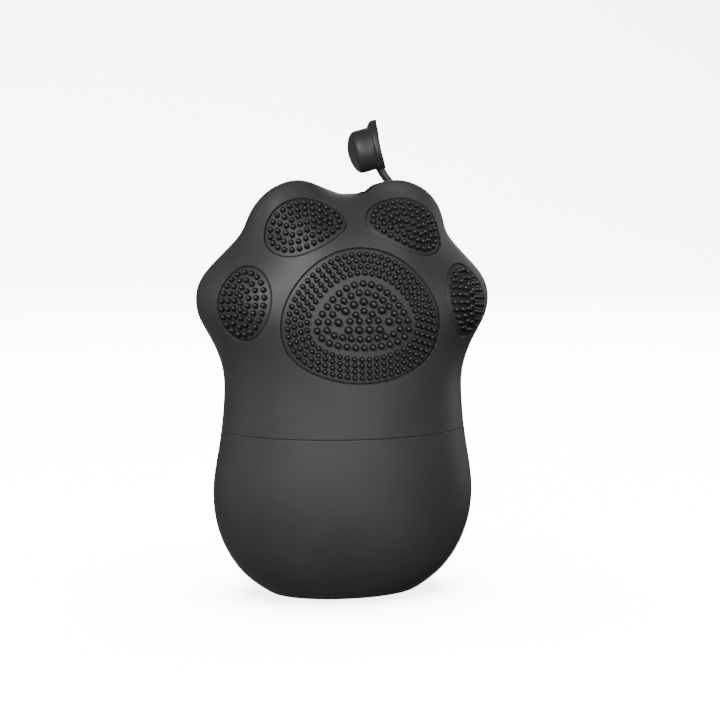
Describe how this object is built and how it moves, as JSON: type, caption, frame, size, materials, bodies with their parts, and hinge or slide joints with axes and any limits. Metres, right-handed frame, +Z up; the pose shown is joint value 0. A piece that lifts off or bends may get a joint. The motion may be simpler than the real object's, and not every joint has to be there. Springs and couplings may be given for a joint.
{
  "type": "paw washer cup",
  "caption": "Oval paw washing cup with a bristled liner and a paw-shaped lift-off head carrying brush pads and a filling port closed by a strap-tethered plug.",
  "frame": {"origin": "centre of the flat foot, on the surface that the cup stands on", "axes": "+Z up towards the toes, -Y out of the front that carries the pads, +X to the right as seen from the front"},
  "size_m": [0.1072, 0.0676, 0.1728],
  "materials": {
    "soft_shell": "fine matt silicone",
    "foot_rubber": "matt",
    "liner": "satin silicone",
    "hard_ring": "moulded, fine grain",
    "seal": "smooth",
    "brush_pad": "satin silicone",
    "plug_rubber": "satin"
  },
  "bodies": {
    "cup": {"cup_body": "soft_shell", "foot_pad": "foot_rubber", "bristle_sleeve": "liner"},
    "head": {"paw_shell": "soft_shell", "mouth_collar": "hard_ring", "seal_ring": "seal", "palm_pad": "brush_pad", "inner_toe_pad_left": "brush_pad", "inner_toe_pad_right": "brush_pad", "outer_toe_pad_left": "brush_pad", "outer_toe_pad_right": "brush_pad", "port_bush": "hard_ring", "strap_anchor": "plug_rubber"},
    "plug": {"fill_plug": "plug_rubber"}
  },
  "joints": [
    {"name": "head_lift", "type": "slide", "parent": "cup", "child": "head", "axis": [0, 0, 1], "range_m": [0, 0.06]},
    {"name": "plug_swing", "type": "hinge", "parent": "head", "child": "plug", "pos_m": [0.0175, 0.004, 0.15], "axis": [0, -1, 0], "range_deg": [-25, 74.4], "stiffness_Nm_per_rad": 0.006, "springref_deg": -1.72}
  ]
}
